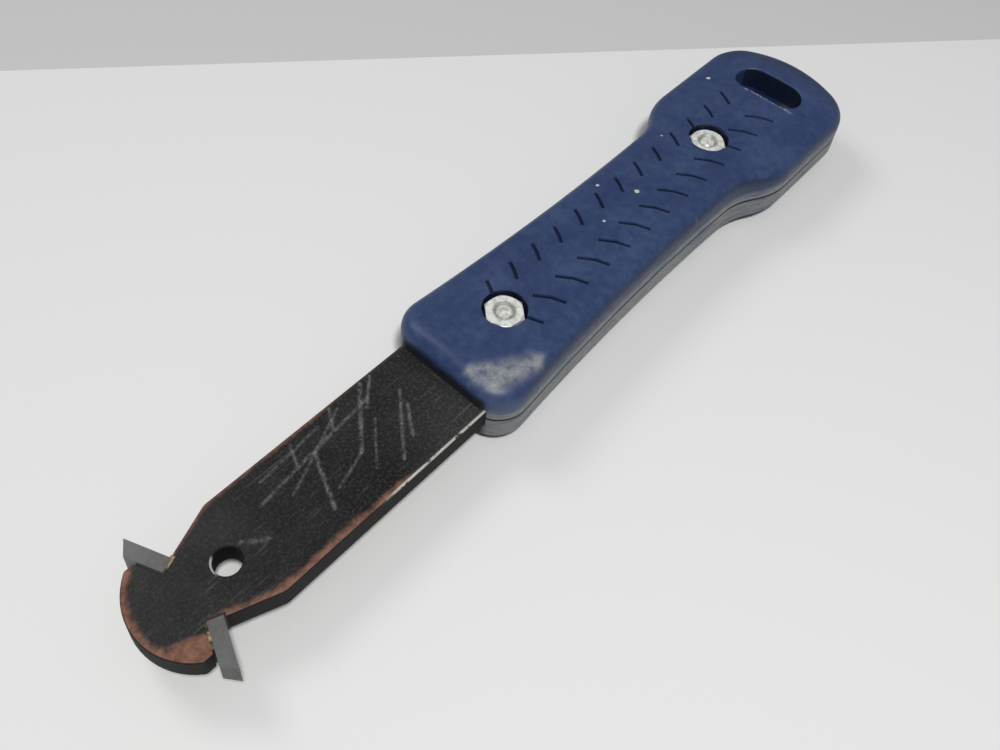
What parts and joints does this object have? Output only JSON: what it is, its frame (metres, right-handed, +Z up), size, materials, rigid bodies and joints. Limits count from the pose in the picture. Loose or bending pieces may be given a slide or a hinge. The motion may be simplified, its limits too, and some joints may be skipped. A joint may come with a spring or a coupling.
{
  "type": "toothed hand scraper",
  "caption": "Flat black steel blade with a crescent nose and two angled carbide teeth, bolted between two moulded plastic grip shells with a hanging slot.",
  "frame": {"origin": "middle of the tool's footprint, on the surface that it lies on", "axes": "+X from the toothed head to the butt, +Y to the right looking from the butt towards the head, +Z up out of the face that carries the grip grooves"},
  "size_m": [0.23, 0.0422, 0.0196],
  "materials": {
    "blade_steel": "satin black oxide with scratches and light rust",
    "carbide": "dull ground",
    "braze_metal": "dull",
    "handle_plastic": "fine grained blue",
    "screw_zinc": "bright zinc",
    "nut_zinc": "bright zinc"
  },
  "bodies": {
    "root": {"blade": "blade_steel", "tooth_left": "carbide", "tooth_right": "carbide", "braze_left": "braze_metal", "braze_right": "braze_metal", "handle_upper": "handle_plastic", "handle_lower": "handle_plastic", "screw_front": "screw_zinc", "screw_rear": "screw_zinc", "nut_front": "nut_zinc", "nut_rear": "nut_zinc"}
  },
  "joints": []
}
